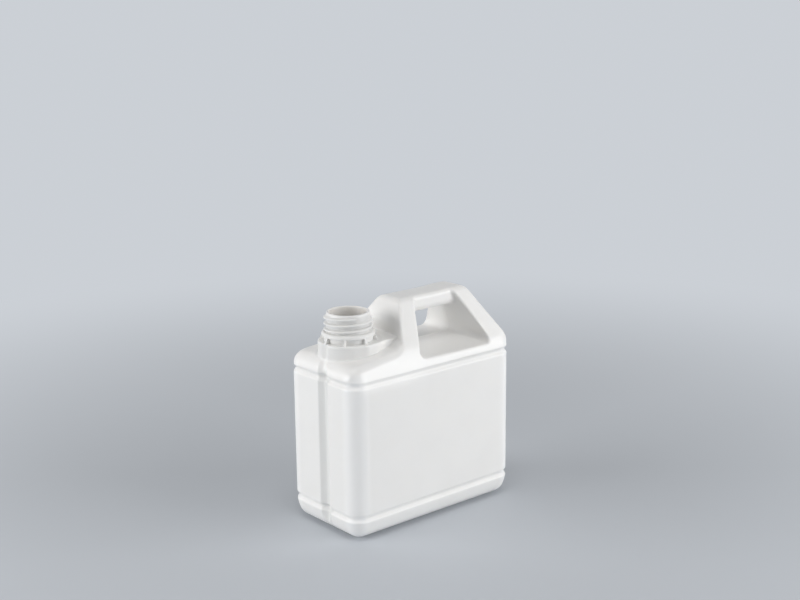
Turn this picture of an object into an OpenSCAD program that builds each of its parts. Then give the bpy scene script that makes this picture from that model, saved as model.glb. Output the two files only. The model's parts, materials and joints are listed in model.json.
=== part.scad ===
/* [Body] */
// Length of the body along X, from the neck end to the back end
body_length = 138; // [125:1:160]
// Width of the body along Y
body_width = 70; // [62:1:90]
// Radius of the four upright corners
corner_radius = 11; // [9:0.5:14]
// Radius of the edge round the underside
base_radius = 8.5; // [4:0.5:10]
// Height at which the long sides start to lean inward
side_height = 110.5; // [107:0.5:117]
// Wall thickness of the blown shell
wall = 1.4; // [1:0.1:2]

/* [Belt grooves] */
// Height of the lower groove round the body
lower_groove_height = 16.2; // [13:0.2:30]
// Height of the upper groove round the body
upper_groove_height = 104; // [90:0.5:104.5]
// Height of each groove where it meets the side
groove_width = 3.8; // [3:0.1:5]
// Depth of each groove
groove_depth = 1.4; // [0.8:0.1:1.8]

/* [Shoulder] */
// Height that the sloping shoulder would reach at the neck end
shoulder_height = 114.6; // [113:0.1:117]
// Rise of the shoulder towards the handle, in degrees
shoulder_slope = 6.8; // [3:0.1:8]
// Radius of the shoulder's edge at the neck end
shoulder_radius = 8; // [5:0.5:9]

/* [Neck] */
// Distance of the neck's axis from the middle of the body
neck_offset = 45; // [44:0.5:47]
// Radius of the neck's bore
bore_radius = 12.4; // [11:0.1:12.8]
// Wall thickness of the neck
neck_wall = 1.9; // [1.4:0.1:2.2]
// Height of the lip above the ground
lip_height = 143.3; // [140:0.1:147]
// Distance from one turn of the thread to the next
thread_pitch = 3.9; // [3.5:0.1:4.5]
// How far the thread stands out from the neck
thread_depth = 1.5; // [0.8:0.1:1.8]
// Thickness of the thread where it leaves the neck
thread_width = 2.4; // [1.6:0.1:3]
// Number of turns of the thread
thread_turns = 2.4; // [1.5:0.1:2.5]
// Distance from the lip down to the start of the thread
thread_start = 1.8; // [1.5:0.1:2.5]
// Direction in which the thread starts, in degrees from +X
thread_direction = 240; // [0:5:355]
// Radius of the ring below the thread
ring_radius = 17.4; // [16.5:0.1:18]
// Height of that ring
ring_height = 2.5; // [1.5:0.1:2.8]
// Gap between the ring and the boss, where the ratchet teeth stand
tooth_height = 3.4; // [2.5:0.1:3.6]
// Number of ratchet teeth
tooth_count = 8; // [4:1:12]
// Thickness of a ratchet tooth
tooth_thickness = 1.2; // [0.8:0.1:2]

/* [Boss] */
// Height of the flat boss that carries the neck
boss_height = 124.7; // [123:0.1:126]
// Radius of the boss round the neck
boss_radius = 19.8; // [19:0.1:21]

/* [Handle] */
// Height of the top of the handle
handle_height = 147.3; // [145:0.1:150]
// Half the width of the handle's top at its two ends
handle_half_width = 10.4; // [9.5:0.1:12]
// Half the width of the grip bar between them
grip_half_width = 10; // [8:0.1:10.2]
// Thickness of the grip bar from top to bottom
grip_thickness = 11.3; // [9:0.1:12]
// Place of the handle's front top edge along X
handle_front = -10.5; // [-12:0.1:-9]
// Lean of the handle's front face from upright, in degrees
front_lean = 28; // [25:0.5:30]
// Deepest place along X of the upright hollow in that face, which clears a screw cap
hollow_place = -16.3; // [-18:0.1:-15.5]
// Radius of that hollow
hollow_radius = 52; // [40:1:70]
// Radius where the back slope meets the back end
back_radius = 5; // [4:0.5:10]
// Lean of the back slope from upright, in degrees
back_lean = 28.4; // [26:0.2:31]
// Height at which the back slope starts
back_height = 108.6; // [108:0.2:115]
// Radius of the handle's outer edges
handle_radius = 4; // [3:0.5:5]

/* [Finger opening] */
// Height of the opening's floor at the middle of the can
floor_height = 114.9; // [114:0.1:117]
// Drop of the opening's floor from the middle to a side edge
floor_drop = 3.8; // [3:0.1:6]
// Front end of the opening's floor at the middle of the can
opening_front = -9.8; // [-10.5:0.1:-7]
// Back end of the opening's floor at the middle of the can
opening_back = 46.4; // [44:0.1:47]
// Lean of the opening's two end walls from upright, in degrees
opening_lean = 21.5; // [20:0.1:24]
// How far the opening widens at each end from the middle to a side edge
opening_flare = 3; // [2:0.1:6]
// Radius of the opening's lower corner at the neck end
opening_front_radius = 7; // [4:0.5:9]
// Radius of the opening's lower corner at the back end
opening_back_radius = 5; // [3:0.5:8]

/* [Front channel] */
// Width of the channel down the neck end
channel_width = 9.6; // [7:0.1:11]
// Depth of that channel
channel_depth = 2.4; // [1:0.1:2.6]
// Distance from the can's middle plane to the channel's middle, towards -Y
channel_offset = 2.9; // [0:0.1:4]
// Width of the channel down the front of the boss
boss_channel_width = 6; // [4:0.1:8]
// Depth of that channel
boss_channel_depth = 1.6; // [0.8:0.1:2]

/* [Hidden] */
$fn = 96;
// Extra length that carries a cut clear of what it cuts
clear = 1;
// Depth by which joined shapes run into each other
bury = 3;
// Flat at the bottom of a belt groove
groove_flat = groove_width / 4;
// Largest turn of one facet on a rounded corner, in degrees
facet_angle = 10;
// Turn from one ring of the thread's mesh to the next, in degrees
thread_step = 15;
// Turn over which the thread fades in or out at an end, in degrees
thread_fade = 40;
// Neck end and back end of the body
front_end = -body_length / 2;
back_end = body_length / 2;
half_width = body_width / 2;
// Rise of the shoulder over one millimetre along X
shoulder_rise = tan(shoulder_slope);
// Run along X of the handle's front face over one millimetre of height
front_run = tan(front_lean);
// Run along X of the back slope over one millimetre of height
back_run = tan(back_lean);
opening_run = tan(opening_lean);
// Place where the handle's front face meets the shoulder
foot_x = (handle_front - front_run * (handle_height - shoulder_height + shoulder_rise * front_end))
    / (1 - front_run * shoulder_rise);
foot_z = shoulder_height + shoulder_rise * (foot_x - front_end);
neck_radius = bore_radius + neck_wall;
ring_base = boss_height + tooth_height;
ring_top = ring_base + ring_height;

// Outline from the side, anticlockwise from the neck end, as [x, z, corner radius]
side_outline = [
    [front_end, 0, 0],
    [back_end, 0, 0],
    [back_end, back_height, back_radius],
    [back_end - back_run * (handle_height - back_height), handle_height, handle_radius],
    [handle_front, handle_height, handle_radius],
    [foot_x, foot_z, handle_radius],
    [front_end, shoulder_height, shoulder_radius]
];

// Outline from the end, anticlockwise, as [y, z, corner radius]
end_outline = [
    [-half_width, 0, 0],
    [half_width, 0, 0],
    [half_width, side_height, handle_radius],
    [handle_half_width, handle_height, handle_radius],
    [-handle_half_width, handle_height, handle_radius],
    [-half_width, side_height, handle_radius]
];

// Section of the grip bar, as [y, z, corner radius]
grip_outline = [
    [-grip_half_width, handle_height - grip_thickness, handle_radius],
    [grip_half_width, handle_height - grip_thickness, handle_radius],
    [grip_half_width, handle_height, handle_radius],
    [-grip_half_width, handle_height, handle_radius]
];

// Outline of the finger opening at a distance from the middle, as [x, z, corner radius]
function opening_outline(distance) =
    let (share = distance / half_width)
    let (flare = opening_flare * share)
    let (bottom = floor_height - floor_drop * share)
    let (top = handle_height + bury * 2)
    [
        [opening_front - flare, bottom, opening_front_radius],
        [opening_back + flare, bottom, opening_back_radius],
        [opening_back + flare - opening_run * (top - bottom), top, 0],
        [opening_front - flare + opening_run * (top - bottom), top, 0]
    ];

// Outward normal of the edge from p to q of an anticlockwise outline
function normal(p, q) =
    let (d = [q[0] - p[0], q[1] - p[1]])
    [d[1], -d[0]] / norm(d);

// Signed turn at a corner between two edge normals, in degrees
function turn(n1, n2) = atan2(n1[0] * n2[1] - n1[1] * n2[0], n1 * n2);

// Shift of a corner when both its edges move in by one millimetre
function mitre(n1, n2) = -(n1 + n2) / (1 + n1 * n2);

// An outline moved in by a depth, with its corner radii to match
function moved_in(outline, depth) =
    let (count = len(outline))
    [for (i = [0 : count - 1])
        let (before = normal(outline[(i + count - 1) % count], outline[i]))
        let (after = normal(outline[i], outline[(i + 1) % count]))
        let (place = [outline[i][0], outline[i][1]] + depth * mitre(before, after))
        let (radius = outline[i][2] - sign(turn(before, after)) * depth)
        [place[0], place[1], outline[i][2] > 0 ? max(radius, 0) : 0]];

// Points of an outline with every corner rounded to its radius
function rounded(outline) =
    let (count = len(outline))
    [for (i = [0 : count - 1])
        let (before = normal(outline[(i + count - 1) % count], outline[i]))
        let (after = normal(outline[i], outline[(i + 1) % count]))
        let (bend = turn(before, after))
        let (side = sign(bend))
        let (radius = outline[i][2])
        let (corner = [outline[i][0], outline[i][1]])
        let (centre = corner + side * radius * mitre(before, after))
        let (steps = radius > 0 ? ceil(abs(bend) / facet_angle) : 0)
        let (start = atan2(before[1], before[0]))
        for (step = [0 : steps])
            let (angle = steps > 0 ? start + bend * step / steps : 0)
            steps > 0 ? centre + side * radius * [cos(angle), sin(angle)] : corner];

// A solid of even section along Y, from an outline of [x, z, radius]
module along_y(outline, length) {
    rotate([90, 0, 0])
        linear_extrude(length, center = true)
            polygon(rounded(outline));
}

// A solid of even section along X, from an outline of [y, z, radius]
module along_x(outline, length) {
    rotate([90, 0, 90])
        linear_extrude(length, center = true)
            polygon(rounded(outline));
}

// The body's plan, moved in by a depth
module plan(depth) {
    radius = corner_radius - depth;
    square([body_length - 2 * depth, body_width - 2 * corner_radius], center = true);
    square([body_length - 2 * corner_radius, body_width - 2 * depth], center = true);
    for (x = [-1, 1], y = [-1, 1])
        translate([x * (back_end - corner_radius), y * (half_width - corner_radius)])
            circle(radius);
}

// Body and handle before any cut: the plan, the side outline and the end outline together
module hull_form(depth) {
    intersection() {
        translate([0, 0, -clear])
            linear_extrude(handle_height + 2 * clear)
                plan(depth);
        along_y(moved_in(side_outline, depth), body_width + 2 * clear);
        along_x(moved_in(end_outline, depth), body_length + 2 * clear);
    }
}

// Section of a belt groove, measured out from the body's side
module groove_section(depth) {
    slope = (groove_width - groove_flat) / 2 / groove_depth;
    bottom = -groove_depth - depth;
    reach = groove_flat / 2 + slope * (clear - bottom);
    polygon([
        [bottom, -groove_flat / 2],
        [clear, -reach],
        [clear, reach],
        [bottom, groove_flat / 2]
    ]);
}

// Section of the cut that rounds the edge of the underside, measured out from the body's side
module base_section(depth) {
    radius = base_radius - depth;
    difference() {
        translate([-base_radius, -clear])
            square([base_radius + clear, base_radius + clear]);
        translate([-base_radius, base_radius])
            circle(radius);
    }
}

// A cut of even section carried round the whole body at a height
module round_body(height) {
    corner_x = back_end - corner_radius;
    corner_y = half_width - corner_radius;
    translate([0, 0, height])
        for (end = [0, 180])
            rotate([0, 0, end]) {
                translate([back_end, 0, 0])
                    rotate([90, 0, 0])
                        linear_extrude(2 * corner_y, center = true)
                            children();
                rotate([0, 0, 90])
                    translate([half_width, 0, 0])
                        rotate([90, 0, 0])
                            linear_extrude(2 * corner_x, center = true)
                                children();
                for (side = [0, 1])
                    mirror([0, side, 0])
                        translate([corner_x, corner_y, 0])
                            rotate_extrude(angle = 90)
                                translate([corner_radius, 0])
                                    children();
            }
}

// Keyhole boss: round at the neck, with straight sides back into the handle
module boss(depth) {
    radius = boss_radius - depth;
    base = shoulder_height - bury - shoulder_radius;
    back = foot_x + bury;
    translate([-neck_offset, 0, base])
        linear_extrude(boss_height - depth - base) {
            circle(radius);
            translate([0, -radius])
                square([back + neck_offset, 2 * radius]);
        }
}

// Upright hollow in the handle's front face, from the top of the boss up
module cap_hollow(depth) {
    translate([hollow_place - hollow_radius, 0, boss_height - depth])
        cylinder(h = handle_height - boss_height + 2 * bury, r = hollow_radius + depth);
}

// Half of the finger opening, from the middle out past the side at +Y
module opening_half(depth) {
    reach = half_width + 2 * clear;
    hull() {
        slice(opening_outline(0), 0, depth);
        slice(opening_outline(reach), reach, depth);
    }
}

// A thin slice of the finger opening at a distance from the middle
module slice(outline, distance, depth) {
    thickness = clear / 10;
    translate([0, distance, 0])
        along_y(moved_in(outline, -depth), thickness);
}

// Radius of a round channel, from its width at the surface and its depth
function round_section(width, deep) = (pow(width / 2, 2) + pow(deep, 2)) / (2 * deep);

// Round channels down the neck end and down the front of the boss
module channels(depth) {
    body_radius = round_section(channel_width, channel_depth);
    body_centre = front_end + channel_depth - body_radius;
    translate([body_centre, -channel_offset, -clear])
        cylinder(h = shoulder_height + 2 * clear, r = body_radius + depth);
    boss_channel_radius = round_section(boss_channel_width, boss_channel_depth);
    boss_centre = -neck_offset - boss_radius + boss_channel_depth - boss_channel_radius;
    translate([boss_centre, 0, shoulder_height + depth])
        cylinder(h = boss_height - shoulder_height + clear, r = boss_channel_radius + depth);
}

// Grip bar between the two ends of the opening
module grip(depth) {
    front = handle_front + bury * 2;
    back = opening_back;
    translate([(front + back) / 2, 0, 0])
        along_x(moved_in(grip_outline, depth), back - front);
}

// The can's form, moved in by a depth: once for the outside, once for the hollow
module form(depth) {
    difference() {
        union() {
            hull_form(depth);
            boss(depth);
        }
        round_body(0)
            base_section(depth);
        for (height = [lower_groove_height, upper_groove_height])
            round_body(height)
                groove_section(depth);
        cap_hollow(depth);
        opening_half(depth);
        mirror([0, 1, 0])
            opening_half(depth);
        channels(depth);
    }
    grip(depth);
}

// Neck with its lip, the ring below the thread and the ratchet teeth
module neck() {
    lip_round = neck_wall / 3;
    tooth_inner = bore_radius + neck_wall / 2;
    tooth_bottom = boss_height - wall / 2;
    tooth_top = ring_base + ring_height / 2;
    rotate_extrude()
        polygon([
            [bore_radius - bury / 2, boss_height - wall],
            [neck_radius, boss_height - wall],
            [neck_radius, ring_base - neck_wall / 2],
            [ring_radius, ring_base],
            [ring_radius, ring_top - lip_round],
            [neck_radius, ring_top + neck_wall / 2],
            [neck_radius, lip_height - lip_round],
            [neck_radius - lip_round, lip_height],
            [bore_radius - bury / 2, lip_height]
        ]);
    for (i = [0 : tooth_count - 1])
        rotate([90, 0, 360 * i / tooth_count])
            linear_extrude(tooth_thickness, center = true)
                polygon([
                    [tooth_inner, tooth_bottom],
                    [ring_radius, tooth_bottom],
                    [ring_radius - lip_round, tooth_top],
                    [tooth_inner, tooth_top]
                ]);
}

// A ring of the thread's section, so many degrees along it from the start at the top
function thread_ring(along) =
    let (fade = min(1, along / thread_fade, (360 * thread_turns - along) / thread_fade))
    let (inner = neck_radius - neck_wall / 4)
    let (outer = neck_radius + thread_depth * fade)
    let (middle = lip_height - thread_start - thread_pitch * along / 360)
    let (direction = thread_direction - along)
    [for (point = [
            [inner, -thread_width / 2],
            [outer, -thread_width / 6],
            [outer, thread_width / 6],
            [inner, thread_width / 2]
        ])
        [point[0] * cos(direction), point[0] * sin(direction), middle + point[1]]];

// Right-handed thread that fades in and out at its two ends
module thread() {
    rings = ceil(360 * thread_turns / thread_step);
    points = [for (i = [0 : rings]) each thread_ring(360 * thread_turns * i / rings)];
    sides = [for (i = [0 : rings - 1], j = [0 : 3])
        let (a = 4 * i + j, b = 4 * i + (j + 1) % 4)
        each [[a, b + 4, b], [a, a + 4, b + 4]]];
    ends = [[0, 1, 2, 3], [4 * rings + 3, 4 * rings + 2, 4 * rings + 1, 4 * rings]];
    polyhedron(points, concat(sides, ends));
}

// One-piece blown can, hollow through to its grip, with an open neck
module jerrycan() {
    color("white")
        difference() {
            union() {
                difference() {
                    form(0);
                    form(wall);
                }
                translate([-neck_offset, 0, 0]) {
                    neck();
                    thread();
                }
            }
            translate([-neck_offset, 0, boss_height - 2 * wall])
                cylinder(h = lip_height - boss_height + 2 * wall + clear, r = bore_radius);
        }
}

jerrycan();
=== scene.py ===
"""White blown jerrycan with a threaded neck, grip handle and belt grooves, without its cap."""

import json
import math
from itertools import product

import bpy
import numpy as np
from bpy.props import FloatProperty, FloatVectorProperty, IntProperty, PointerProperty
from mathutils import Matrix, Vector


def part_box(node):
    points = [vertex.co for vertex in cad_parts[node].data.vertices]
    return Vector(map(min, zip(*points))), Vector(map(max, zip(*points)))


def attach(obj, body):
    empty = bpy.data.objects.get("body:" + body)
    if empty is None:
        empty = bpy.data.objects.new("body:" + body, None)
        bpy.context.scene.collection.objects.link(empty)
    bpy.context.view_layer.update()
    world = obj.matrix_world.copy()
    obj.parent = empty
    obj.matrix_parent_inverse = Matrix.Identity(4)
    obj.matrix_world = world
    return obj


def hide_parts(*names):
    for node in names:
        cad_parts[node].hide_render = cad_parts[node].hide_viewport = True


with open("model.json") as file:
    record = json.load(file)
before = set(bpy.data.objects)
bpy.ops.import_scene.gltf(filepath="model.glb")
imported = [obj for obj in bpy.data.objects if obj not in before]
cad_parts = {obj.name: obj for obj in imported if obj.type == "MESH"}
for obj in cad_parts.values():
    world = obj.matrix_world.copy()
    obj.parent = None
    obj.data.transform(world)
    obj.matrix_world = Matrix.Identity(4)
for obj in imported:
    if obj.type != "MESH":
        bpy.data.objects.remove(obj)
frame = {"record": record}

bl_info = {
    "name": "Jerrycan",
    "version": (1, 0, 0),
    "blender": (4, 5, 0),
    "location": "View3D > Sidebar > Jerrycan",
    "description": "Makes a one-piece blown jerrycan and a plain studio round it",
    "category": "Add Mesh",
}

NODE = "jerrycan"
MM = 0.001
CAN_LOW, CAN_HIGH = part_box(NODE)
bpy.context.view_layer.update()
BORE = next(mount for mount in frame["record"]["mounts"] if mount["name"] == "neck_bore")


# Sizes and colours that a user would change


def distance(name, description, default):
    """A property that is a length, in metres."""
    return FloatProperty(name=name, description=description, default=default, unit="LENGTH",
                         subtype="DISTANCE")


def angle(name, description, degrees):
    """A property that is an angle."""
    return FloatProperty(name=name, description=description, default=math.radians(degrees),
                         unit="ROTATION", subtype="ANGLE")


def tint(name, description, default):
    """A property that is a colour."""
    return FloatVectorProperty(name=name, description=description, default=default,
                               subtype="COLOR", size=3, min=0, max=1)


class BodySizes(bpy.types.PropertyGroup):
    """Sizes of the blown body, its shoulder and its belt grooves."""

    length: distance("Length", "Length of the body, from the neck end to the back end",
                     CAN_HIGH.x - CAN_LOW.x)
    width: distance("Width", "Width of the body", CAN_HIGH.y - CAN_LOW.y)
    corner_radius: distance("Corner radius", "Radius of the four upright corners", 0.011)
    side_height: distance("Side height", "Height at which the long sides start to lean inward",
                          0.1105)
    shoulder_height: distance("Shoulder height", "Height of the sloping shoulder at the neck end",
                              0.1146)
    lower_groove: distance("Lower groove", "Height of the lower belt groove", 0.0162)
    upper_groove: distance("Upper groove", "Height of the upper belt groove", 0.104)
    groove_width: distance("Groove width", "Height of a belt groove where it meets the side",
                           0.0038)
    groove_depth: distance("Groove depth", "Depth of a belt groove", 0.0014)
    channel_width: distance("Channel width", "Width of the channel down the neck end", 0.0102)
    channel_offset: distance(
        "Channel offset", "Distance of the channel's bottom from the middle plane",
        0.0031)
    channel_lean: angle("Channel lean", "Angle of the channel's two sides to the wall", 33)
    boss_channel_width: distance(
        "Boss channel width", "Width of the channel down the front of the boss",
        0.0062)
    wall: distance("Wall", "Thickness of the blown wall", 0.0014)


class HandleSizes(bpy.types.PropertyGroup):
    """Sizes of the handle, its grip and the finger opening."""

    top: distance("Top", "Height of the handle's top", CAN_HIGH.z)
    front: distance("Front", "Place of the handle's front top edge along the can", -0.0105)
    front_lean: angle("Front lean", "Lean of the handle's front face from upright", 28)
    back_height: distance("Back height", "Height at which the back slope starts", 0.1086)
    back_lean: angle("Back lean", "Lean of the back slope from upright", 28.4)
    grip_half_width: distance("Grip half width", "Half the width of the grip bar", 0.0102)
    grip_thickness: distance("Grip thickness", "Thickness of the grip bar from top to bottom",
                             0.0113)
    floor_height: distance("Opening floor", "Height of the opening's floor at the middle", 0.1149)
    opening_front: distance("Opening front", "Front end of the opening's floor", -0.0098)
    opening_back: distance("Opening back", "Back end of the opening's floor at the middle", 0.0444)
    opening_lean: angle("Opening lean", "Lean of the opening's two end walls from upright", 21.5)


class NeckSizes(bpy.types.PropertyGroup):
    """Sizes of the neck, its thread, its ring and its ratchet teeth."""

    bore_radius: distance("Bore radius", "Radius of the neck's bore", BORE["dims"]["r_mm"] * MM)
    lip_height: distance("Lip height", "Height of the lip above the ground", BORE["pos_m"][2])
    wall: distance("Neck wall", "Wall thickness of the neck", 0.0019)
    boss_height: distance("Boss height", "Height of the flat boss that carries the neck", 0.1247)
    boss_radius: distance("Boss radius", "Radius of the boss round the neck", 0.0198)
    thread_pitch: distance("Thread pitch", "Distance from one turn of the thread to the next",
                           0.0039)
    thread_depth: distance("Thread depth", "How far the thread stands out from the neck", 0.0015)
    thread_width: distance("Thread width", "Thickness of the thread where it leaves the neck",
                           0.0024)
    thread_turns: FloatProperty(
        name="Thread turns", description="Number of turns of the thread", default=2.5)
    thread_top: distance("Thread top", "Distance from the lip down to the thread's upper end",
                         0.002)
    thread_start: angle("Thread start", "Direction of the thread's upper end round the neck", 262)
    ring_radius: distance("Ring radius", "Radius of the ring below the thread", 0.0174)
    ring_base: distance("Ring base", "Height of the ring's lower face above the boss", 0.0034)
    ring_height: distance("Ring height", "Height of the ring below the thread", 0.0025)
    tooth_count: IntProperty(
        name="Ratchet teeth", description="Number of ratchet teeth below the ring", default=8)
    tooth_thickness: distance("Tooth thickness", "Thickness of a ratchet tooth", 0.0012)


class PlasticFinish(bpy.types.PropertyGroup):
    """Colours and gloss of the blown polyethylene, with painted light at the thin corners and painted
    shade in the channel, on the neck and between the thread's turns.
    """

    body_colour: tint("Body colour", "Colour of the body's wall", (0.88, 0.87, 0.85))
    # Painted light: the thin upright corners are painted paler, for the light that shines through the
    # wall there
    painted_corner_light: tint("Corner colour", "Paler colour of the thin upright corners",
                        (0.96, 0.955, 0.94))
    # Painted shade down in the recessed channel
    channel_shade_colour: tint("Channel colour", "Greyer colour down in the front channel",
                         (0.79, 0.79, 0.775))
    # Painted shade: the neck and the boss are painted greyer, for the shade that falls on them
    neck_shade_colour: tint("Neck colour", "Greyer colour of the thick neck", (0.81, 0.805, 0.79))
    # Painted shade in the thread's roots, between its turns
    root_shade_colour: tint("Thread root colour", "Greyer colour between the turns of the thread",
                      (0.73, 0.725, 0.71))
    inside_colour: tint("Inside colour", "Warmer grey seen down the bore", (0.88, 0.86, 0.83))
    roughness: FloatProperty(
        name="Roughness", description="Roughness of the satin surface", default=0.35,
        min=0, max=1, subtype="FACTOR")
    translucence: FloatProperty(
        name="Translucence", description="Share of the light that travels through the wall",
        default=0.25, min=0, max=1, subtype="FACTOR")


class StudioSettings(bpy.types.PropertyGroup):
    """Colours of the floor and the backdrop, and levels of the lamps."""

    floor_colour: tint("Floor colour", "Colour of the floor round the can", (0.58, 0.61, 0.65))
    backdrop_colour: tint("Backdrop colour", "Colour that the floor runs out into behind the can",
                          (0.6, 0.63, 0.67))
    side_level: FloatProperty(
        name="Side lamps", description="Level of each of the two side lamps on the can",
        default=0.65, min=0)
    top_level: FloatProperty(
        name="Top lamp", description="Level of the lamp high in front of the can", default=0.23,
        min=0)
    world_level: FloatProperty(
        name="Surroundings", description="Level of the plain light all round", default=0.24,
        min=0)


# Fields: a field is below nought inside a shape and about a distance in millimetres outside it


def round_max(a, b, radius):
    """What two fields have in common, with the outer edge rounded."""
    inner = np.minimum(-radius, np.maximum(a, b))
    return inner + np.hypot(np.maximum(a + radius, 0), np.maximum(b + radius, 0))


def round_min(a, b, radius):
    """Two fields joined, with the inner edge filled by a fillet."""
    outer = np.maximum(radius, np.minimum(a, b))
    return outer - np.hypot(np.maximum(radius - a, 0), np.maximum(radius - b, 0))


def ramp(value, start, end):
    """Smooth step from 0 at start to 1 at end."""
    share = np.clip((value - start) / (end - start), 0, 1)
    return share * share * (3 - 2 * share)


def window(value, start, risen, falling, end):
    """Smooth rise from 0 at start to 1, and back to 0 at end."""
    return ramp(value, start, risen) * ramp(value, end, falling)


class Change:
    """A value that goes smoothly from first to last between two places, and is even beyond them."""

    def __init__(self, first, last, start, end):
        self.first = first
        self.last = last
        self.start = start
        self.end = end

    def at(self, place):
        return self.first + (self.last - self.first) * ramp(place, self.start, self.end)


def leaning(run, rise, lean):
    """Distance past a face that leans back from upright by an angle."""
    return run * math.cos(lean) + rise * math.sin(lean)


class CanForm:
    """The can's outer form as a field over millimetres, without its neck.

    A round or an edge is the radius of an outer edge, and a fillet that of an inner one."""

    base_leg = 5.8
    base_round = 7.0
    shoulder_slope = math.radians(6.8)
    shoulder_fillet = 3.0
    shoulder_round = Change(8.0, 3.0, start=-30, end=30)
    gable_lean = math.radians(34.1)
    rear_gable_lean = math.radians(33.7)
    rear_gable_share = Change(0, 1, start=5, end=35)
    ridge_round = Change(4.5, 1.6, start=116, end=127)
    back_round = 3.5
    back_side_round = Change(5.0, 3.0, start=108, end=112)
    rear_rise = 0.5
    lower_top_share = Change(0, 1, start=34, end=24)
    pocket_place = -16.3
    pocket_radius = 52.0
    pocket_floor = 1.5
    pocket_fillet = 1.0
    pocket_edge = 3.0
    boss_side = 18.0
    boss_back = -5.0
    boss_corner = 1.0
    boss_waist = 6.0
    boss_edge = 1.0
    boss_fillet = 0.6
    channel_soft = 1.3
    channel_edge = 0.25
    channel_fade = Change(0, 5, start=-62.5, end=-60)
    boss_channel_middle = -0.2
    boss_channel_share = Change(0, 1, start=106, end=115)
    groove_edge = 1.0
    plain_height = 50.0
    opening_drop = math.atan(3.8 / 35)
    opening_flare = 3 / 35
    opening_bulge = 4.0
    bulge_reach = 11.0
    bulge_flare = 0.05
    opening_front_round = Change(7.0, 5.5, start=5, end=30)
    opening_back_round = Change(6.5, 4.5, start=3, end=26)
    opening_edge = Change(1.2, 1.8, start=124, end=138)
    grip_round = 4.5
    grip_fillet = 1.5
    parting_height = 0.22
    parting_width = 0.3
    parting_along = (-14, -6, 58, 66)
    parting_up = (108, 112, 126, 134)

    def __init__(self, body, handle, neck):
        lengths = (
            (body, ("length", "width", "corner_radius", "side_height", "shoulder_height",
                    "lower_groove", "upper_groove", "groove_width", "groove_depth", "wall")),
            (handle, ("top", "front", "back_height", "grip_half_width", "grip_thickness",
                      "floor_height", "opening_front", "opening_back")),
            (neck, ("boss_height", "boss_radius")))
        for sizes, names in lengths:
            for name in names:
                setattr(self, name, getattr(sizes, name) / MM)
        self.channel_half = body.channel_width / 2 / MM
        self.channel_middle = -body.channel_offset / MM
        self.channel_lean = body.channel_lean
        self.boss_channel_half = body.boss_channel_width / 2 / MM
        self.front_lean = handle.front_lean
        self.back_lean = handle.back_lean
        self.opening_lean = handle.opening_lean
        self.neck_x = BORE["pos_m"][0] / MM
        self.front_end = -self.length / 2
        self.back_end = self.length / 2

    def plan(self, x, side):
        """Distance from the rounded rectangle that the body fills from above."""
        along = np.abs(x) - (self.length / 2 - self.corner_radius)
        across = side - (self.width / 2 - self.corner_radius)
        corner = np.hypot(np.maximum(along, 0), np.maximum(across, 0))
        return corner + np.minimum(np.maximum(along, across), 0) - self.corner_radius

    def gable(self, x, side, z):
        """Distance past the leaning upper part of a long side."""
        front = leaning(side - self.width / 2, z - self.side_height, self.gable_lean)
        rear = leaning(side - self.width / 2, z - self.side_height, self.rear_gable_lean)
        return front + (rear - front) * self.rear_gable_share.at(x)

    def column_front(self, x, side, z):
        """Distance out of the handle's front face, with the upright pocket that clears a cap."""
        line = self.front - (self.top - z) * math.tan(self.front_lean)
        face = (line - x) * math.cos(self.front_lean)
        wall = self.pocket_place - side ** 2 / (2 * self.pocket_radius) - x
        floor = z - self.boss_height + self.pocket_floor
        pocket = round_min(wall, floor, self.pocket_fillet)
        return round_max(face, pocket, self.pocket_edge)

    def shoulder(self, x, z):
        """Distance above the sloping shoulder."""
        rise = (x - self.front_end) * math.sin(self.shoulder_slope)
        return (z - self.shoulder_height) * math.cos(self.shoulder_slope) - rise

    def keyhole(self, x, side, z):
        """The boss without its top: round at the neck, with straight sides back into the handle."""
        ring = np.hypot(x - self.neck_x, side) - self.boss_radius
        straight = round_max(side - self.boss_side, self.neck_x - x, self.boss_corner)
        outline = round_min(ring, np.maximum(straight, x - self.boss_back), self.boss_waist)
        return np.maximum(outline, self.upper_groove - z)

    def opening(self, x, side, z):
        """The finger opening, before the grip bar crosses it."""
        rise = z - self.floor_height + side * math.tan(self.opening_drop)
        lean = self.opening_lean
        floor = -rise * math.cos(self.opening_drop)
        front = (self.opening_front - self.opening_flare * side - x) * math.cos(lean)
        front = front + rise * math.sin(lean)
        bulge = self.opening_bulge * (1 - np.exp(-((side / self.bulge_reach) ** 2)))
        bulge = bulge + self.bulge_flare * side
        back = leaning(x - self.opening_back - bulge, rise, lean)
        before = round_max(floor, front, self.opening_front_round.at(side))
        return round_max(before, back, self.opening_back_round.at(side))

    def grip(self, side, z):
        """The grip bar below the handle's top."""
        lowest = self.top - self.rear_rise - self.grip_thickness
        return round_max(side - self.grip_half_width, lowest - z, self.grip_round)

    def belt_groove(self, wall, above):
        """A groove of round section in a wall, at a height above its middle."""
        radius = ((self.groove_width / 2) ** 2 + self.groove_depth ** 2) / (2 * self.groove_depth)
        return np.hypot(wall - (radius - self.groove_depth), above) - radius

    def channel(self, wall, x, y, z):
        """Distance past the two sides of the channel that runs down the boss and the neck end."""
        share = self.boss_channel_share.at(z)
        middle = self.channel_middle + (self.boss_channel_middle - self.channel_middle) * share
        half = self.channel_half + (self.boss_channel_half - self.channel_half) * share
        across = np.hypot(half, self.channel_soft) - np.hypot(y - middle, self.channel_soft)
        depth = across * math.tan(self.channel_lean) - self.channel_fade.at(x)
        return (wall + depth) * math.cos(self.channel_lean)

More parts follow.
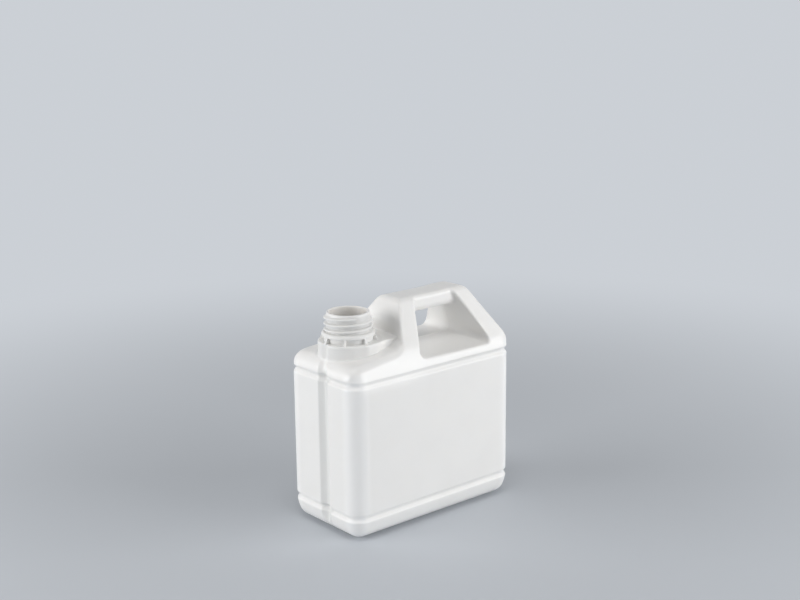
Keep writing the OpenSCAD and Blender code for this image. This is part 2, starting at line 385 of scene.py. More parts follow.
    def outside(self, x, y, z):
        """The outer form."""
        side = np.abs(y)
        plan = self.plan(x, side)
        chamfer = (plan - z + self.base_leg) / math.sqrt(2)
        foot = round_max(round_max(plan, chamfer, self.base_round), -z, self.base_round)
        front = self.column_front(x, side, z)
        profile = round_min(self.shoulder(x, z), front, self.shoulder_fillet)
        roof = round_max(profile, self.gable(x, side, z), self.ridge_round.at(z))
        body = round_max(foot, roof, self.shoulder_round.at(x))
        keyhole = self.keyhole(x, side, z)
        boss = round_max(keyhole, z - self.boss_height, self.boss_edge)
        form = round_min(body, boss, self.boss_fillet)
        bar = round_min(-self.opening(x, side, z), self.grip(side, z), self.grip_fillet)
        form = round_max(form, bar, self.opening_edge.at(z))
        top = self.top - self.rear_rise * self.lower_top_share.at(x)
        back = leaning(x - self.back_end, z - self.back_height, self.back_lean)
        cap = round_max(z - top, back, self.back_round)
        form = round_max(form, cap, self.back_side_round.at(z))
        wall = np.where(z < self.plain_height, plan, round_min(body, keyhole, self.boss_fillet))
        channel = self.channel(wall, x, y, z)
        form = round_max(form, channel, self.channel_edge)
        for height in (self.lower_groove, self.upper_groove):
            groove = self.belt_groove(np.maximum(plan, channel), z - height)
            form = round_max(form, -groove, self.groove_edge)
        return form

    def parted(self, x, y, z):
        """The outer form with the fine raised line where the mould's halves met."""
        line = np.exp(-((y / self.parting_width) ** 2))
        place = window(x, *self.parting_along) * window(z, *self.parting_up)
        return self.outside(x, y, z) - self.parting_height * line * place

    def inside(self, x, y, z):
        """The hollow within the wall."""
        return self.outside(x, y, z) + self.wall


# Meshes from fields and profiles


LATHE_SEGMENTS = 144
ARC_STEP_DEGREES = 18


def spaced(stops):
    """Grid lines from (start, step) pairs, the last of which only ends the line before it."""
    lines = []
    for (start, step), (end, _) in zip(stops, stops[1:]):
        count = max(1, round((end - start) / step))
        lines.extend(start + (end - start) * i / count for i in range(count))
    lines.append(stops[-1][0])
    return np.array(lines)


def mirrored(lines):
    """Lines from nought outward, and the same the other way."""
    return np.concatenate([-lines[:0:-1], lines])


def slope_of(field, points):
    """Value and gradient of a field at points."""
    reach = 0.02
    value = field(points[:, 0], points[:, 1], points[:, 2])
    slope = np.empty_like(points)
    for axis in range(3):
        step = np.zeros(3)
        step[axis] = reach
        ahead = points + step
        behind = points - step
        slope[:, axis] = field(*ahead.T) - field(*behind.T)
    return value, slope / (2 * reach)


def settled(points, field, steps=5):
    """Points moved along the gradient onto the surface of a field."""
    least_steepness = 0.05
    for _ in range(steps):
        value, slope = slope_of(field, points)
        steepness = np.maximum((slope ** 2).sum(1), least_steepness)
        points = points - slope * (value / steepness)[:, None]
    return points


def net(field, grid):
    """Quads of the surface where a field passes through nought, one corner in each grid cell."""
    xs, ys, zs = grid
    value = field(xs[:, None, None], ys[None, :, None], zs[None, None, :])
    within = value < 0
    shape = np.array(value.shape) - 1
    count = np.zeros(shape, np.int8)
    for i, j, k in product((0, 1), repeat=3):
        count += within[i:shape[0] + i, j:shape[1] + j, k:shape[2] + k]
    cells = np.argwhere((count > 0) & (count < 8))
    number = np.full(shape, -1)
    number[tuple(cells.T)] = np.arange(len(cells))
    total = np.zeros((len(cells), 3))
    hits = np.zeros(len(cells))
    for axis, first, second in product(range(3), (0, 1), (0, 1)):
        start = cells.copy()
        start[:, (axis + 1) % 3] += first
        start[:, (axis + 2) % 3] += second
        end = start.copy()
        end[:, axis] += 1
        low = value[tuple(start.T)]
        high = value[tuple(end.T)]
        cut = (low < 0) != (high < 0)
        share = low[cut] / (low[cut] - high[cut])
        point = np.stack([line[start[cut, a]] for a, line in enumerate(grid)], 1)
        line = grid[axis]
        point[:, axis] += share * (line[end[cut, axis]] - line[start[cut, axis]])
        total[cut] += point
        hits[cut] += 1
    quads = []
    for axis in range(3):
        before = [slice(None)] * 3
        after = [slice(None)] * 3
        before[axis] = slice(0, -1)
        after[axis] = slice(1, None)
        change = within[tuple(before)] != within[tuple(after)]
        edges = np.argwhere(change)
        b, c = (axis + 1) % 3, (axis + 2) % 3
        inner = (edges[:, b] > 0) & (edges[:, b] < shape[b])
        inner &= (edges[:, c] > 0) & (edges[:, c] < shape[c])
        edges = edges[inner]
        faces = []
        for shift_b, shift_c in ((-1, -1), (0, -1), (0, 0), (-1, 0)):
            cell = edges.copy()
            cell[:, b] += shift_b
            cell[:, c] += shift_c
            faces.append(number[tuple(cell.T)])
        faces = np.stack(faces, 1)
        outward = within[tuple(edges.T)]
        faces[~outward] = faces[~outward][:, ::-1]
        quads.append(faces)
    return total / hits[:, None], np.concatenate(quads)


def scene_object(name, data):
    """An object for a mesh, a lamp or a camera, linked to the scene."""
    made = bpy.data.objects.new(name, data)
    bpy.context.scene.collection.objects.link(made)
    return made


def mesh_object(name, points, faces):
    """An object from points in millimetres and faces."""
    mesh = bpy.data.meshes.new(name)
    mesh.from_pydata((np.asarray(points) * MM).tolist(), [], faces)
    mesh.validate()
    return scene_object(name, mesh)


def field_object(name, field, grid):
    """An object whose mesh is the surface of a field."""
    points, quads = net(field, grid)
    return mesh_object(name, settled(points, field), quads.tolist())


def lathe_object(name, profile, centre):
    """A closed solid turned round an upright axis from (radius, height) pairs.

    The profile's first and last points lie on the axis."""
    segments = LATHE_SEGMENTS
    angles = 2 * math.pi * np.arange(segments) / segments
    ring = np.stack([np.cos(angles), np.sin(angles)], 1)
    points = [(centre[0], centre[1], profile[0][1])]
    for radius, height in profile[1:-1]:
        points.extend((centre[0] + radius * c, centre[1] + radius * s, height) for c, s in ring)
    points.append((centre[0], centre[1], profile[-1][1]))
    faces = []
    last = len(points) - 1
    rows = len(profile) - 2
    for i in range(segments):
        j = (i + 1) % segments
        faces.append((0, 1 + j, 1 + i))
        for row in range(rows - 1):
            a = 1 + row * segments
            faces.append((a + i, a + j, a + segments + j, a + segments + i))
        a = 1 + (rows - 1) * segments
        faces.append((a + i, a + j, last))
    return mesh_object(name, points, faces)


def rounded_profile(corners):
    """A (radius, height) line with each corner (radius, height, rounding) turned into an arc."""
    line = []
    for i, (r, h, rounding) in enumerate(corners):
        if rounding == 0 or i in (0, len(corners) - 1):
            line.append((r, h))
            continue
        here = np.array([r, h])
        before = np.array(corners[i - 1][:2]) - here
        after = np.array(corners[i + 1][:2]) - here
        before = before / np.linalg.norm(before)
        after = after / np.linalg.norm(after)
        half = math.acos(float(np.clip(before @ after, -1, 1))) / 2
        reach = rounding / math.tan(half)
        centre = here + (before + after) / np.linalg.norm(before + after) * rounding / math.sin(half)
        start = here + before * reach - centre
        end = here + after * reach - centre
        turn = math.pi - 2 * half
        steps = max(2, math.ceil(math.degrees(turn) / ARC_STEP_DEGREES))
        for step in range(steps + 1):
            share = step / steps
            arc = start * math.sin((1 - share) * turn) + end * math.sin(share * turn)
            line.append(tuple(centre + arc / math.sin(turn)))
    return line


# Node trees


class Link:
    """An output of a node, with the arithmetic that the finish is written in."""

    def __init__(self, tree, socket):
        self.tree = tree
        self.socket = socket

    def maths(self, operation, *values):
        return add(self.tree, "ShaderNodeMath", {"operation": operation}, dict(enumerate(values)))[0]

    def __add__(self, other):
        return self.maths("ADD", self, other)

    def __radd__(self, other):
        return self.maths("ADD", other, self)

    def __sub__(self, other):
        return self.maths("SUBTRACT", self, other)

    def __rsub__(self, other):
        return self.maths("SUBTRACT", other, self)

    def __mul__(self, other):
        return self.maths("MULTIPLY", self, other)

    def __rmul__(self, other):
        return self.maths("MULTIPLY", other, self)

    def __truediv__(self, other):
        return self.maths("DIVIDE", self, other)

    def least(self, other):
        return self.maths("MINIMUM", self, other)

    def most(self, other):
        return self.maths("MAXIMUM", self, other)

    def size(self):
        return self.maths("ABSOLUTE", self)

    def step(self, start, end):
        """Smooth step from 0 at start to 1 at end."""
        made = add(self.tree, "ShaderNodeMapRange", {"interpolation_type": "SMOOTHSTEP"},
                   {"Value": self, "From Min": start, "From Max": end})
        return made["Result"]


class Outputs:
    """The outputs of a node that was added, by name or place."""

    def __init__(self, tree, node):
        self.tree = tree
        self.node = node

    def __getitem__(self, key):
        return Link(self.tree, self.node.outputs[key])


def add(tree, kind, settings=None, inputs=None):
    """Adds a node: its settings first, then the values or links of its sockets."""
    node = tree.nodes.new(kind)
    for name, value in (settings or {}).items():
        setattr(node, name, value)
    for key, value in (inputs or {}).items():
        if isinstance(value, Link):
            tree.links.new(value.socket, node.inputs[key])
        else:
            node.inputs[key].default_value = value
    return Outputs(tree, node)


def colour(values):
    """A colour with full alpha."""
    return (*values, 1.0)


def vector(tree, **parts):
    """A vector from numbers or links for its X, Y and Z."""
    return add(tree, "ShaderNodeCombineXYZ", None, parts)[0]


def scaled(tree, value, scale):
    """A vector or a colour times a number."""
    return add(tree, "ShaderNodeVectorMath", {"operation": "SCALE"},
               {"Vector": value, "Scale": scale})["Vector"]


def far(tree, value):
    """The length of a vector."""
    return add(tree, "ShaderNodeVectorMath", {"operation": "LENGTH"}, {0: value})["Value"]


def mixed_colour(tree, share, first, second):
    """A colour that goes from the first to the second as the share goes from 0 to 1."""
    return add(tree, "ShaderNodeMix", {"data_type": "RGBA"}, {0: share, 6: first, 7: second})[2]


def cleared(holder):
    """The node tree of a material or a world, without its first nodes."""
    holder.use_nodes = True
    holder.node_tree.nodes.clear()
    return holder.node_tree


def noise(tree, place, scale, detail, roughness=0.5):
    """Soft noise between 0 and 1."""
    return add(tree, "ShaderNodeTexNoise", None,
               {"Vector": place, "Scale": scale, "Detail": detail, "Roughness": roughness})["Fac"]


# Where painted light, painted shade and the bore's warmer grey go on the plastic, as (from, to) in
# metres along an axis or out from the neck's axis
CORNER_RIM = (-0.003, 0.005)
CORNER_TOP = (0.113, 0.104)
CHANNEL_SIDE = (0.0056, 0.0042)
CHANNEL_FRONT = (-0.0645, -0.0655)
CHANNEL_TOP = (0.112, 0.106)
NECK_SIDE = (0.0225, 0.0205)
NECK_FOOT = (0.1135, 0.1165)
ROOT_SIDE = (0.0154, 0.0147)
ROOT_FOOT = (0.1306, 0.1314)
ROOT_TOP = (0.1424, 0.1414)
BORE_SIDE = (0.0131, 0.0126)
BORE_FOOT = (0.1, 0.12)


def coloured_places(tree, place, finish, form):
    """Shares that are 1 at a place of the can and 0 elsewhere, each with that place's colour: painted
    light at the corners, painted shade in the channel, on the neck and between the thread's turns,
    and the warmer grey down the bore.
    """
    axes = add(tree, "ShaderNodeSeparateXYZ", None, {0: place})
    radius = far(tree, vector(tree, X=axes["X"] - form.neck_x * MM, Y=axes["Y"]))
    height = axes["Z"]
    reach = (form.length / 2 - form.corner_radius) * MM
    spread = (form.width / 2 - form.corner_radius) * MM
    from_channel = (axes["Y"] - form.channel_middle * MM).size()
    # Painted light at the upright corners
    corner_light_share = axes["X"].size().step(*[reach + rim for rim in CORNER_RIM])
    corner_light_share = corner_light_share * axes["Y"].size().step(*[spread + rim for rim in CORNER_RIM])
    corner_light_share = corner_light_share * height.step(*CORNER_TOP)
    # Painted shade down in the channel
    channel_shade_share = from_channel.step(*CHANNEL_SIDE) * axes["X"].step(*CHANNEL_FRONT)
    channel_shade_share = channel_shade_share * height.step(*CHANNEL_TOP)
    # Painted shade on the neck and the boss
    neck_shade_share = radius.step(*NECK_SIDE) * height.step(*NECK_FOOT)
    # Painted shade in the thread's roots, between its turns
    root_shade_share = radius.step(*ROOT_SIDE) * height.step(*ROOT_FOOT) * height.step(*ROOT_TOP)
    down_bore = radius.step(*BORE_SIDE) * height.step(*BORE_FOOT)
    return ((corner_light_share, finish.painted_corner_light), (channel_shade_share, finish.channel_shade_colour),
            (neck_shade_share, finish.neck_shade_colour), (root_shade_share, finish.root_shade_colour),
            (down_bore, finish.inside_colour))


def plastic_material(finish, form):
    """Satin white polyethylene, with painted light at the thin corners and painted shade on the neck,
    in the channel and between the thread's turns.
    """
    material = bpy.data.materials.new("white polyethylene")
    tree = cleared(material)
    place = add(tree, "ShaderNodeTexCoord")["Object"]
    mottle = noise(tree, place, scale=38.0, detail=4.0, roughness=0.55)
    smudge = noise(tree, place, scale=11.0, detail=3.0, roughness=0.6)
    ripple = noise(tree, place, scale=70.0, detail=1.0, roughness=0.4)
    grain = noise(tree, place, scale=900.0, detail=2.0)
    mottle_depth, smudge_depth = 0.015, 0.02
    darker = mottle.step(0.35, 0.75) * mottle_depth + smudge.step(0.5, 0.72) * smudge_depth
    full = colour(finish.body_colour)
    # The corners get painted light; the channel, the neck and the thread's roots get painted shade
    for share, there in coloured_places(tree, place, finish, form):
        full = mixed_colour(tree, share, full, colour(there))
    shaded = scaled(tree, full, 1.0 - darker)
    mottle_gloss, smudge_gloss = 0.05, 0.06
    rough = mottle.step(0.3, 0.8) * mottle_gloss + smudge.step(0.4, 0.8) * smudge_gloss
    grain_height = 0.12
    bump = add(tree, "ShaderNodeBump", None, {
        "Strength": 0.35, "Distance": 0.0001, "Height": grain * grain_height + ripple})["Normal"]
    shader = add(tree, "ShaderNodeBsdfPrincipled", None, {
        "Base Color": shaded, "Roughness": rough + (finish.roughness - mottle_gloss),
        "Normal": bump, "IOR": 1.5, "Subsurface Weight": finish.translucence,
        "Subsurface Scale": 0.002, "Subsurface Radius": (1.0, 0.95, 0.88)})[0]
    add(tree, "ShaderNodeOutputMaterial", None, {"Surface": shader})
    return material


SOCKETS = {float: "NodeSocketFloat", int: "NodeSocketInt", tuple: "NodeSocketVector",
           bpy.types.Material: "NodeSocketMaterial"}


def new_tree(name, values):
    """A Geometry Nodes tree with an input for each value, links to these and their identifiers."""
    tree = bpy.data.node_groups.new(name, "GeometryNodeTree")
    identifiers = {}
    for label, value in values.items():
        made = tree.interface.new_socket(label, in_out="INPUT", socket_type=SOCKETS[type(value)])
        identifiers[label] = made.identifier
    tree.interface.new_socket("Geometry", in_out="OUTPUT", socket_type="NodeSocketGeometry")
    group = Outputs(tree, tree.nodes.new("NodeGroupInput"))
    return tree, group, identifiers


def moved(tree, geometry, **inputs):
    """Geometry turned by a Rotation and shifted by a Translation."""
    return add(tree, "GeometryNodeTransform", None, {"Geometry": geometry, **inputs})[0]


def finish_tree(tree, geometry, material):
    """Ends a tree in plain geometry with its material."""
    real = add(tree, "GeometryNodeRealizeInstances", None, {"Geometry": geometry})[0]
    painted = add(tree, "GeometryNodeSetMaterial", None,
                  {"Geometry": real, "Material": material})[0]
    add(tree, "NodeGroupOutput", None, {0: painted})


def grown(name, tree, identifiers, values):
    """The plain mesh object that a Geometry Nodes tree gives for its inputs."""
    source = scene_object(name, bpy.data.meshes.new(name))
    modifier = source.modifiers.new(name, "NODES")
    modifier.node_group = tree
    for label, value in values.items():
        modifier[identifiers[label]] = value
    return plain(source)


def plain(source):
    """Replaces an object's mesh by its evaluated mesh and drops its modifiers."""
    graph = bpy.context.evaluated_depsgraph_get()
    mesh = bpy.data.meshes.new_from_object(source.evaluated_get(graph))
    source.modifiers.clear()
    source.data = mesh
    return source


# Heights of the corners of the thread's section, as shares of its width
ROOT_BELOW = -0.42
ROOT_ABOVE = 0.5
CREST_BELOW = -0.3
CREST_ABOVE = 0.02


def thread_object(neck, form, material):
    """The right-handed thread, swept up a spiral and fading into the neck at both ends."""
    lowest = neck.lip_height - neck.thread_top - neck.thread_pitch * neck.thread_turns
    values = {
        "Turns": neck.thread_turns, "Pitch": neck.thread_pitch,
        "Radius": neck.bore_radius + neck.wall, "Depth": neck.thread_depth,
        "Width": neck.thread_width, "Fade": 0.05, "Centre": (form.neck_x * MM, 0.0, lowest),
        "Turned": neck.thread_start - 2 * math.pi * neck.thread_turns,
        "Rounding": 0.0003, "Bury": 0.0006, "Material": material}
    tree, group, identifiers = new_tree("thread", values)
    turns = group["Turns"]
    spiral = add(tree, "GeometryNodeCurveSpiral", None,
                 {"Resolution": 96, "Rotations": turns, "Start Radius": group["Radius"],
                  "End Radius": group["Radius"], "Height": group["Pitch"] * turns,
                  "Reverse": True})[0]
    upright = add(tree, "GeometryNodeSetCurveNormal", {"mode": "Z_UP"}, {"Curve": spiral})[0]
    along = add(tree, "GeometryNodeSplineParameter")["Factor"]
    least_size = 0.03
    size = (along.least(1.0 - along) * turns / group["Fade"]).least(1.0).most(least_size)
    inner = 0.0 - group["Bury"]
    section = add(tree, "GeometryNodeCurvePrimitiveQuadrilateral", {"mode": "POINTS"}, {
        "Point 1": vector(tree, X=group["Width"] * ROOT_BELOW, Y=inner),
        "Point 2": vector(tree, X=group["Width"] * ROOT_ABOVE, Y=inner),
        "Point 3": vector(tree, X=group["Width"] * CREST_ABOVE, Y=group["Depth"]),
        "Point 4": vector(tree, X=group["Width"] * CREST_BELOW, Y=group["Depth"])})[0]
    section = add(tree, "GeometryNodeFilletCurve", {"mode": "POLY"},
                  {"Curve": section, "Count": 4, "Radius": group["Rounding"],
                   "Limit Radius": True})[0]
    section = moved(tree, section, Rotation=(0.0, 0.0, -math.pi / 2))
    swept = add(tree, "GeometryNodeCurveToMesh", None,
                {"Curve": upright, "Profile Curve": section, "Scale": size,
                 "Fill Caps": True})[0]
    turned = vector(tree, Z=group["Turned"])
    placed = moved(tree, swept, Rotation=turned, Translation=group["Centre"])
    finish_tree(tree, placed, group["Material"])
    return grown("thread", tree, identifiers, values)


def teeth_object(neck, form, material):
    """The ratchet teeth: fins that slope out from the ring to the boss, evenly round the neck."""
    ring_inset = 0.0002
    boss_inset = 0.0006
    values = {
        "Count": neck.tooth_count, "Inner": neck.bore_radius + neck.wall / 2,
        "Upper": neck.ring_radius - ring_inset, "Lower": neck.boss_radius - boss_inset,
        "Height": neck.ring_base, "Thickness": neck.tooth_thickness, "Bury": 0.0004,
        "Centre": (form.neck_x * MM, 0.0, neck.boss_height), "Material": material}
    tree, group, identifiers = new_tree("ratchet teeth", values)
    low = 0.0 - group["Bury"]
    high = group["Height"] + group["Bury"]
    fin = add(tree, "GeometryNodeCurvePrimitiveQuadrilateral", {"mode": "POINTS"}, {
        "Point 1": vector(tree, X=group["Inner"], Y=low),
        "Point 2": vector(tree, X=group["Lower"], Y=low),
        "Point 3": vector(tree, X=group["Upper"], Y=high),
        "Point 4": vector(tree, X=group["Inner"], Y=high)})[0]
    face = add(tree, "GeometryNodeFillCurve", {"mode": "NGONS"}, {"Curve": fin})[0]
    push = vector(tree, Z=group["Thickness"])
    walls = add(tree, "GeometryNodeExtrudeMesh", None,
                {"Mesh": face, "Offset": push, "Offset Scale": 1.0, "Individual": False})[0]
    back = add(tree, "GeometryNodeFlipFaces", None, {"Mesh": face})[0]
    joined = tree.nodes.new("GeometryNodeJoinGeometry")
    tree.links.new(walls.socket, joined.inputs[0])
    tree.links.new(back.socket, joined.inputs[0])
    solid = add(tree, "GeometryNodeMergeByDistance", None,
                {"Geometry": Link(tree, joined.outputs[0]), "Distance": 0.00001})[0]
    middle = vector(tree, Z=group["Thickness"] * -0.5)
    solid = moved(tree, solid, Translation=middle)
    solid = moved(tree, solid, Rotation=(math.pi / 2, 0.0, 0.0))
    spots = add(tree, "GeometryNodeMeshLine", {"mode": "OFFSET"},
                {"Count": group["Count"], "Offset": (0.0, 0.0, 0.0)})[0]
    number = add(tree, "GeometryNodeInputIndex")[0]
    turn = number / group["Count"] * (2 * math.pi)
    many = add(tree, "GeometryNodeInstanceOnPoints", None,
               {"Points": spots, "Instance": solid, "Rotation": vector(tree, Z=turn)})[0]
    placed = moved(tree, many, Translation=group["Centre"])
    finish_tree(tree, placed, group["Material"])
    return grown("ratchet_teeth", tree, identifiers, values)


# Pieces


def combined(target, other, operation):
    """Joins another closed solid to the target, or cuts it away, and removes it."""
    modifier = target.modifiers.new(operation, "BOOLEAN")
    modifier.operation = operation
    modifier.solver = "MANIFOLD"
    modifier.object = other
    plain(target)
    mesh = other.data
    bpy.data.objects.remove(other)
    bpy.data.meshes.remove(mesh)
    return target


def can_grids():
    """Grid lines of the outer form and of the hollow, closest where the can has its detail."""
    along = spaced([(-69.7, 0.8), (-56, 1.25), (-28, 0.8), (-12, 1.25), (2, 2.0), (30, 1.25),
                    (54, 0.85), (69.7, 1)])
    across = mirrored(spaced([(0, 0.16), (0.64, 0.4), (1.44, 1.1), (22, 0.85), (35.7, 1)]))
    up = spaced([(-0.55, 0.6), (13.25, 0.36), (19.2, 1.6), (22.4, 4.5), (96, 1.6), (101, 0.36),
                 (107, 0.8), (147.6, 1)])
    inner_along = spaced([(-68.7, 1.5), (-54, 2.4), (54, 1.6), (68.7, 1)])
    inner_across = mirrored(spaced([(0, 2.0), (22, 1.5), (34.9, 1)]))
    inner_up = spaced([(0.65, 1.5), (13.4, 0.7), (19.2, 2.4), (24, 8), (96, 2.4), (101, 0.7),
                       (107, 1.5), (146.3, 1)])
    return (along, across, up), (inner_along, inner_across, inner_up)


def neck_object(neck, form):
    """The neck with its lip and the ring below the thread, turned as one solid."""
    root = (neck.bore_radius + neck.wall) / MM
    boss = neck.boss_height / MM
    ring = neck.ring_radius / MM
    ring_base = boss + neck.ring_base / MM
    ring_top = ring_base + neck.ring_height / MM
    lip = neck.lip_height / MM
    seat = boss - 0.9
    recess = root + 1.5
    ring_slope = 0.8
    ring_slope_height = 1.1
    lip_taper = 0.45
    lip_taper_height = 2.6
    profile = rounded_profile([
        (0, seat, 0), (recess, seat, 0), (recess, ring_base - 0.4, 0.4),
        (ring, ring_base + 0.1, 0.35), (ring - 0.05, ring_top - ring_slope_height, 0.5),
        (ring - ring_slope, ring_top, 0.35), (root, ring_top + 0.2, 0.5),
        (root, lip - lip_taper_height, 0), (root - lip_taper, lip, 0.6), (0, lip, 0)])
    return lathe_object("neck", profile, (form.neck_x, 0))


def bore_object(neck, form):
    """What the bore takes out of the neck and the boss, with the lip's inner edge eased."""
    bore = neck.bore_radius / MM
    lip = neck.lip_height / MM
    below = neck.boss_height / MM - 3.2
    above = lip + 1.4
    ease = 0.5
    flare = 1.6
    profile = rounded_profile([
        (0, below, 0), (bore, below, 0), (bore, lip - ease, 0.6), (bore + flare, above, 0),
        (0, above, 0)])
    return lathe_object("bore", profile, (form.neck_x, 0))


def values_of(items, name, kind, width=1):
    """One attribute of all items: a flat array, or rows where it is wider than one value."""
    values = np.empty(len(items) * width, kind)
    items.foreach_get(name, values)
    return values if width == 1 else values.reshape(-1, width).astype(float)


def smooth_normals(piece, form):
    """Smooth shading, with the exact normals of the field wherever a face lies on it."""
    sharp_angle = math.radians(38)
    outer_reach = 0.02
    inner_reach = 0.06
    least_slope = 0.001
    least_match = 0.6
    mesh = piece.data
    mesh.shade_smooth()
    mesh.set_sharp_from_angle(angle=sharp_angle)
    normals = values_of(mesh.corner_normals, "vector", np.float32, 3)
    points = values_of(mesh.vertices, "co", np.float32, 3) / MM
    corner_of = values_of(mesh.loops, "vertex_index", np.int32)
    starts = values_of(mesh.polygons, "loop_start", np.int32)
    sizes = values_of(mesh.polygons, "loop_total", np.int32)
    face_of = np.repeat(np.arange(len(sizes)), sizes)
    for field, sign, near in ((form.parted, 1, outer_reach), (form.inside, -1, inner_reach)):
        value, slope = slope_of(field, points)
        slope = slope / np.maximum(np.linalg.norm(slope, axis=1), least_slope)[:, None]
        on = np.abs(value) < near
        whole = np.minimum.reduceat(on[corner_of].astype(np.int8), starts) > 0
        chosen = whole[face_of]
        match = (normals[chosen] * slope[corner_of[chosen]]).sum(1) * sign
        picked = np.nonzero(chosen)[0][match > least_match]
        normals[picked] = slope[corner_of[picked]] * sign
    mesh.normals_split_custom_set(normals.tolist())


def build_can(settings):
    """The whole can as one closed mesh, in the place of its CAD node."""
    form = CanForm(settings.body, settings.handle, settings.neck)
    material = plastic_material(settings.finish, form)
    outer_grid, inner_grid = can_grids()
    can = field_object(NODE + "_shell", form.parted, outer_grid)
    for part in (neck_object(settings.neck, form), thread_object(settings.neck, form, material),
                 teeth_object(settings.neck, form, material)):
        combined(can, part, "UNION")
    hollow = field_object("hollow", form.inside, inner_grid)
    combined(hollow, bore_object(settings.neck, form), "UNION")
    combined(can, hollow, "DIFFERENCE")
    can.data.materials.clear()
    can.data.materials.append(material)
    smooth_normals(can, form)
    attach(can, "root")
    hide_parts(NODE)
    return can


# Studio, with a camera that was fitted to the photograph


CAMERA_PLACE = Vector((-0.55016, -0.64791, 0.35159))
CAMERA_AZIMUTH = math.radians(-40.26)
CAMERA_ELEVATION = math.radians(13.8)
CAMERA_ROLL = math.radians(-0.61)
CAMERA_LENS = 59.87
CAMERA_SENSOR = 36.0
LAMP_AIM = Vector((0, 0, 0.07))
TOWARDS_CAMERA = math.radians(229.7)
SIDE_LAMP_SPREAD = math.radians(73)
SIDE_LAMP_ELEVATION = math.radians(13)
SIDE_LAMP_DISTANCE = 1.3
SIDE_LAMP_SIZE = (1.0, 0.7)
TOP_LAMP_ELEVATION = math.radians(72)
TOP_LAMP_DISTANCE = 1.5
TOP_LAMP_SIZE = (0.7, 0.7)
FLOOR_REACH = 20.0
BACKDROP_RIM = (0.12, 0.75)


def direction(azimuth, elevation):
    """The way to a place, from its azimuth round from +X and its elevation."""
    return Vector((math.cos(azimuth) * math.cos(elevation),
                   math.sin(azimuth) * math.cos(elevation), math.sin(elevation)))


def studio_camera():
    """The camera at the photograph's angle."""
    data = bpy.data.cameras.new("camera")
    data.lens = CAMERA_LENS
    data.sensor_width = CAMERA_SENSOR
    data.clip_start = 0.01
    data.clip_end = 50.0
    camera = scene_object("camera", data)
    back = direction(CAMERA_AZIMUTH - math.pi / 2, CAMERA_ELEVATION)
    right = direction(CAMERA_AZIMUTH, 0)
    up = back.cross(right)
    turned_right = math.cos(CAMERA_ROLL) * right + math.sin(CAMERA_ROLL) * up
    turned_up = math.cos(CAMERA_ROLL) * up - math.sin(CAMERA_ROLL) * right
    matrix = Matrix((turned_right, turned_up, back)).transposed().to_4x4()
    matrix.translation = CAMERA_PLACE
    camera.matrix_world = matrix
    bpy.context.scene.camera = camera


def soft_lamp(name, azimuth, elevation, distance, size, level):
    """An area lamp aimed at the can, so that a face turned to it gets that level of light."""
    data = bpy.data.lights.new(name, "AREA")
    data.shape = "RECTANGLE"
    data.size, data.size_y = size
    data.energy = level * math.pi ** 2 * distance ** 2
    lamp = scene_object(name, data)
    away = direction(azimuth, elevation)
    lamp.location = LAMP_AIM + away * distance
    lamp.rotation_mode = "QUATERNION"
    lamp.rotation_quaternion = away.to_track_quat("Z", "Y")


def backdrop_rays(tree):
    """1 for the rays that show the backdrop: seen by the camera, in gloss or through a clear part."""
    rays = add(tree, "ShaderNodeLightPath")
    return rays["Is Camera Ray"].most(rays["Is Glossy Ray"]).most(rays["Is Transmission Ray"])


def floor_material(studio):
    """Plain pale floor, barely mottled, which runs out into an even backdrop far from the can."""
    material = bpy.data.materials.new("studio floor")
    tree = cleared(material)
    place = add(tree, "ShaderNodeTexCoord")["Object"]
    darkest, mottle_depth = 0.985, 0.03
    shade = darkest + noise(tree, place, scale=6.0, detail=3.0) * mottle_depth
    mottled = scaled(tree, tuple(studio.floor_colour), shade)
    shader = add(tree, "ShaderNodeBsdfPrincipled", None,
                 {"Base Color": mottled, "Roughness": 0.75, "Specular IOR Level": 0.2})[0]
    backdrop = add(tree, "ShaderNodeEmission", None,
                   {"Color": colour(studio.backdrop_colour), "Strength": 1.0})[0]
    share = far(tree, place).step(*BACKDROP_RIM) * backdrop_rays(tree)
    mixed = add(tree, "ShaderNodeMixShader", None, {0: share, 1: shader, 2: backdrop})[0]
    add(tree, "ShaderNodeOutputMaterial", None, {"Surface": mixed})
    return material


def surroundings(studio):
    """Plain light from all round, with the backdrop's colour where it is seen."""
    world = bpy.data.worlds.new("surroundings")
    tree = cleared(world)
    light = add(tree, "ShaderNodeBackground", None,
                {"Color": (1.0, 1.0, 1.0, 1.0), "Strength": studio.world_level})[0]
    backdrop = add(tree, "ShaderNodeBackground", None,
                   {"Color": colour(studio.backdrop_colour), "Strength": 1.0})[0]
    mixed = add(tree, "ShaderNodeMixShader", None,
                {0: backdrop_rays(tree), 1: light, 2: backdrop})[0]
    add(tree, "ShaderNodeOutputWorld", None, {"Surface": mixed})
    return world


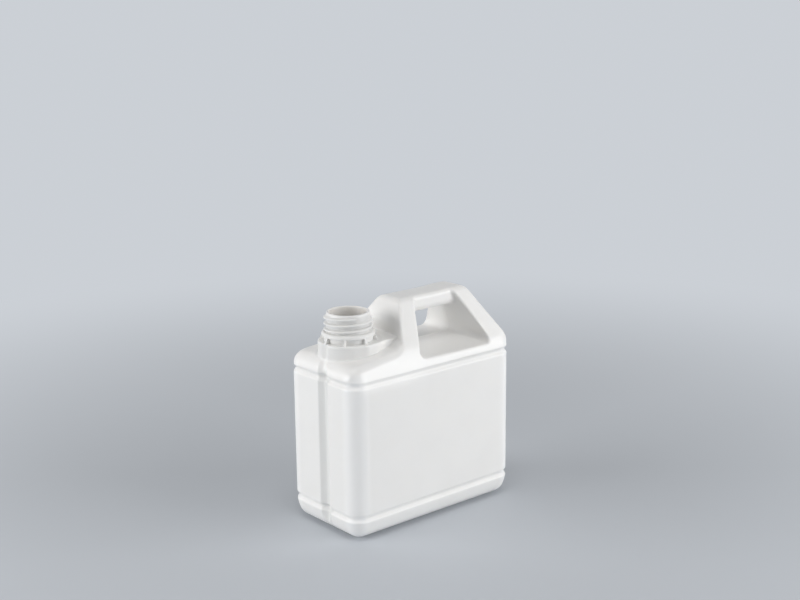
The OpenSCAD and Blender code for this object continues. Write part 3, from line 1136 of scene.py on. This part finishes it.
def build_studio(studio):
    """Floor, lamps, surroundings and camera."""
    mesh = bpy.data.meshes.new("floor")
    sides = ((-1, -1), (1, -1), (1, 1), (-1, 1))
    corners = [(x * FLOOR_REACH, y * FLOOR_REACH, 0) for x, y in sides]
    mesh.from_pydata(corners, [], [(0, 1, 2, 3)])
    mesh.materials.append(floor_material(studio))
    floor = scene_object("floor", mesh)
    for name, side in (("left lamp", -1), ("right lamp", 1)):
        soft_lamp(name, TOWARDS_CAMERA + side * SIDE_LAMP_SPREAD, SIDE_LAMP_ELEVATION,
                  SIDE_LAMP_DISTANCE, SIDE_LAMP_SIZE, studio.side_level)
    soft_lamp("top lamp", TOWARDS_CAMERA, TOP_LAMP_ELEVATION, TOP_LAMP_DISTANCE, TOP_LAMP_SIZE,
              studio.top_level)
    bpy.context.scene.world = surroundings(studio)
    bpy.context.scene.view_settings.view_transform = "Standard"
    studio_camera()


# Operators and panel


class JerrycanSettings(bpy.types.PropertyGroup):
    """All settings of the can and its studio."""

    body: PointerProperty(type=BodySizes)
    handle: PointerProperty(type=HandleSizes)
    neck: PointerProperty(type=NeckSizes)
    finish: PointerProperty(type=PlasticFinish)
    studio: PointerProperty(type=StudioSettings)


class JERRYCAN_OT_can(bpy.types.Operator):
    """Make the blown can with its neck, thread, ratchet teeth and handle"""

    bl_idname = "jerrycan.can"
    bl_label = "Make the can"

    def execute(self, context):
        build_can(context.scene.jerrycan)
        return {"FINISHED"}


class JERRYCAN_OT_studio(bpy.types.Operator):
    """Make the floor, the lamps and the camera"""

    bl_idname = "jerrycan.studio"
    bl_label = "Make the studio"

    def execute(self, context):
        build_studio(context.scene.jerrycan.studio)
        return {"FINISHED"}


class JERRYCAN_PT_panel(bpy.types.Panel):
    """The can's operators in the 3D view's sidebar"""

    bl_idname = "JERRYCAN_PT_panel"
    bl_label = "Jerrycan"
    bl_space_type = "VIEW_3D"
    bl_region_type = "UI"
    bl_category = "Jerrycan"

    def draw(self, context):
        self.layout.operator(JERRYCAN_OT_can.bl_idname)
        self.layout.operator(JERRYCAN_OT_studio.bl_idname)


CLASSES = (BodySizes, HandleSizes, NeckSizes, PlasticFinish, StudioSettings, JerrycanSettings,
           JERRYCAN_OT_can, JERRYCAN_OT_studio, JERRYCAN_PT_panel)


def register():
    for cls in CLASSES:
        bpy.utils.register_class(cls)
    bpy.types.Scene.jerrycan = PointerProperty(type=JerrycanSettings)


def unregister():
    del bpy.types.Scene.jerrycan
    for cls in reversed(CLASSES):
        bpy.utils.unregister_class(cls)


def main():
    """Makes everything."""
    register()
    bpy.ops.jerrycan.can()
    bpy.ops.jerrycan.studio()


if __name__ == "__main__":
    main()
